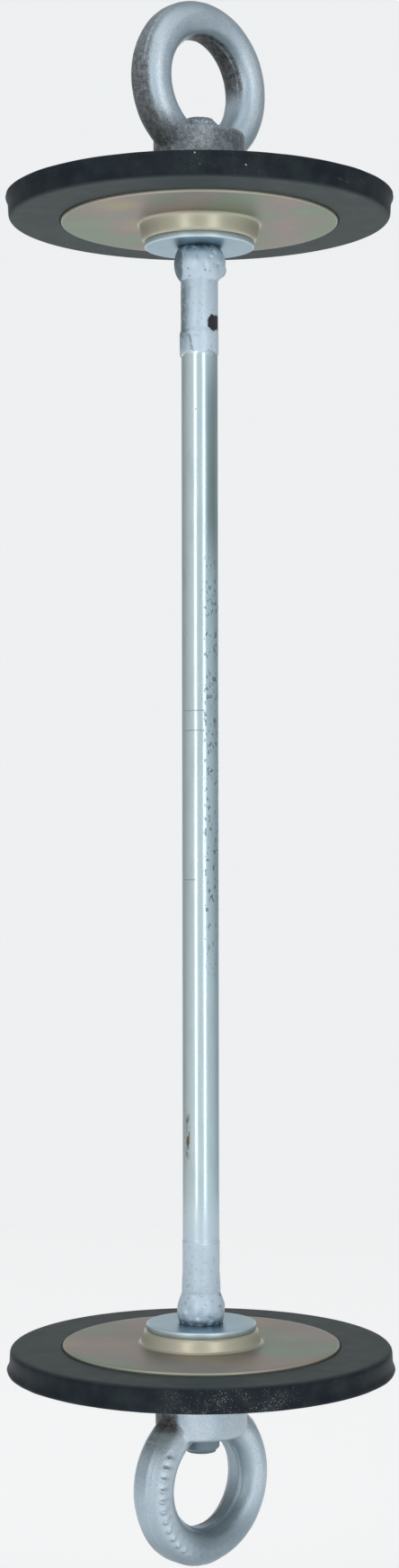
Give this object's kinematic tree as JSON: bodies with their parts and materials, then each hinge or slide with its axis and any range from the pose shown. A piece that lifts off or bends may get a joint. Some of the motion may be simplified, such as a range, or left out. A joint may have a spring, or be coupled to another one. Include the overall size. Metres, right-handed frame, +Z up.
{
  "type": "ball hanging rod",
  "caption": "Through-rod hanging kit for a large ball: eye nuts clamp rubber discs and dished plates against weld shoulders on a long rod.",
  "frame": {"origin": "centre of the upper eye's hole, from which the kit hangs", "axes": "+Z up along the rod, the eyes lie in the XZ plane and their holes run along Y"},
  "size_m": [0.106, 0.106, 0.4247],
  "materials": {
    "zinc_rod": "bright zinc plating, slightly pitted",
    "painted_weld": "satin silver spray paint over weld",
    "zinc_washer": "pale blue zinc plating",
    "yellow_chromate": "yellow chromated zinc with a faint pink and green sheen",
    "black_rubber": "matt moulded rubber",
    "painted_forging": "satin silver spray paint over a dark forging"
  },
  "bodies": {
    "rod": {"centre_rod": "zinc_rod", "upper_weld_bead": "painted_weld", "lower_weld_bead": "painted_weld"},
    "upper_pack": {"upper_inner_washer": "zinc_washer", "upper_inner_plate": "yellow_chromate", "upper_rubber_disc": "black_rubber", "upper_outer_plate": "yellow_chromate"},
    "upper_washer": {"upper_outer_washer": "zinc_washer"},
    "upper_eye": {"upper_eye_nut": "painted_forging"},
    "lower_washer": {"lower_outer_washer": "zinc_washer"},
    "lower_eye": {"lower_eye_nut": "painted_forging"},
    "lower_pack": {"lower_inner_washer": "zinc_washer", "lower_inner_plate": "yellow_chromate", "lower_rubber_disc": "black_rubber", "lower_outer_plate": "yellow_chromate"}
  },
  "joints": [
    {"name": "upper_disc_spin", "type": "hinge", "parent": "rod", "child": "upper_pack", "pos_m": [0, 0, -0.0336], "axis": [0, 0, 1], "continuous": true},
    {"name": "upper_washer_travel", "type": "slide", "parent": "rod", "child": "upper_washer", "axis": [0, 0, 1], "range_m": [0, 0.00937]},
    {"name": "upper_eye_turn", "type": "hinge", "parent": "upper_washer", "child": "upper_eye", "pos_m": [0, 0, 0], "axis": [0, 0, 1], "range_deg": [0, 2250]},
    {"name": "lower_washer_travel", "type": "slide", "parent": "rod", "child": "lower_washer", "axis": [0, 0, -1], "range_m": [0, 0.00937]},
    {"name": "lower_eye_turn", "type": "hinge", "parent": "lower_washer", "child": "lower_eye", "pos_m": [0, 0, -0.3797], "axis": [0, 0, -1], "range_deg": [0, 2250]},
    {"name": "lower_disc_spin", "type": "hinge", "parent": "lower_washer", "child": "lower_pack", "pos_m": [0, 0, -0.3461], "axis": [0, 0, 1], "continuous": true}
  ],
  "couplings": [
    {"joint": "upper_eye_turn", "follows": "upper_washer_travel", "rad_per_m": 4188.8},
    {"joint": "lower_eye_turn", "follows": "lower_washer_travel", "rad_per_m": 4188.8}
  ]
}
